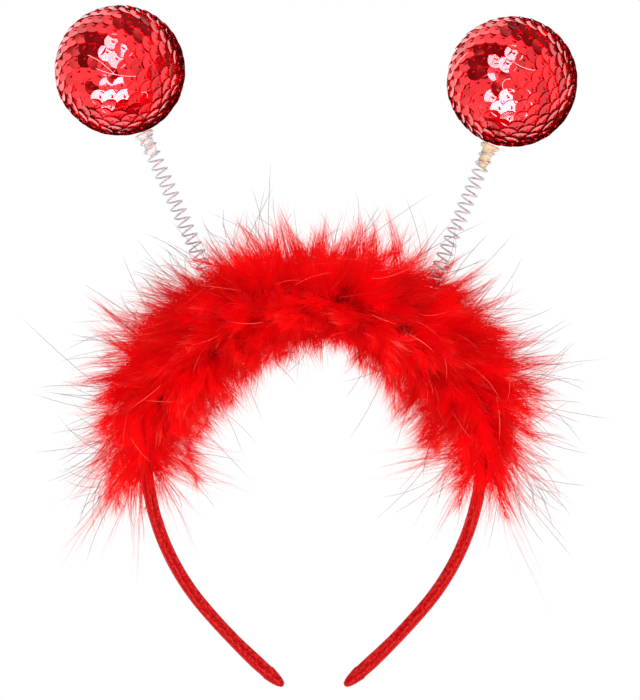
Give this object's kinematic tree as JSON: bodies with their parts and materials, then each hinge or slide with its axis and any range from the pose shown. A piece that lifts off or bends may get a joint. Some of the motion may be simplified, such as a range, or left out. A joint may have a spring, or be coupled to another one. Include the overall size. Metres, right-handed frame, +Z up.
{
  "type": "marabou feather headband",
  "caption": "Costume headband: a satin covered hoop in a fluffy marabou feather trim, with sequin covered balls that sway on coil springs.",
  "frame": {"origin": "where the top of a head meets the inside of the band's crown, at the middle of the band's width", "axes": "+Z up as it is worn, -Y to the front, +X to the right of the front view"},
  "size_m": [0.1888, 0.0472, 0.2458],
  "materials": {
    "satin_ribbon": "red satin ribbon with a fine crepe weave, half gloss",
    "marabou": "soft red marabou down, matt, with pinkish tips",
    "spring_wire": "bright drawn steel wire",
    "hot_glue": "cloudy hot melt glue",
    "sequins": "metallic red cupped sequins, mirror gloss"
  },
  "bodies": {
    "headband": {"band": "satin_ribbon", "marabou_trim": "marabou", "spring_left": "spring_wire", "spring_right": "spring_wire"},
    "bopper_left": {"sequin_ball_left": "sequins", "glue_left": "hot_glue"},
    "bopper_right": {"sequin_ball_right": "sequins", "glue_right": "hot_glue"}
  },
  "joints": [
    {"name": "sway_left", "type": "hinge", "parent": "headband", "child": "bopper_left", "pos_m": [-0.04554, 0, 0.02961], "axis": [0, 1, 0], "range_deg": [-35, 35], "stiffness_Nm_per_rad": 0.03, "springref_deg": 4.85, "deforming": ["spring_left"]},
    {"name": "sway_right", "type": "hinge", "parent": "headband", "child": "bopper_right", "pos_m": [0.04967, 0, 0.02713], "axis": [0, 1, 0], "range_deg": [-35, 35], "stiffness_Nm_per_rad": 0.03, "springref_deg": -4.3, "deforming": ["spring_right"]}
  ]
}
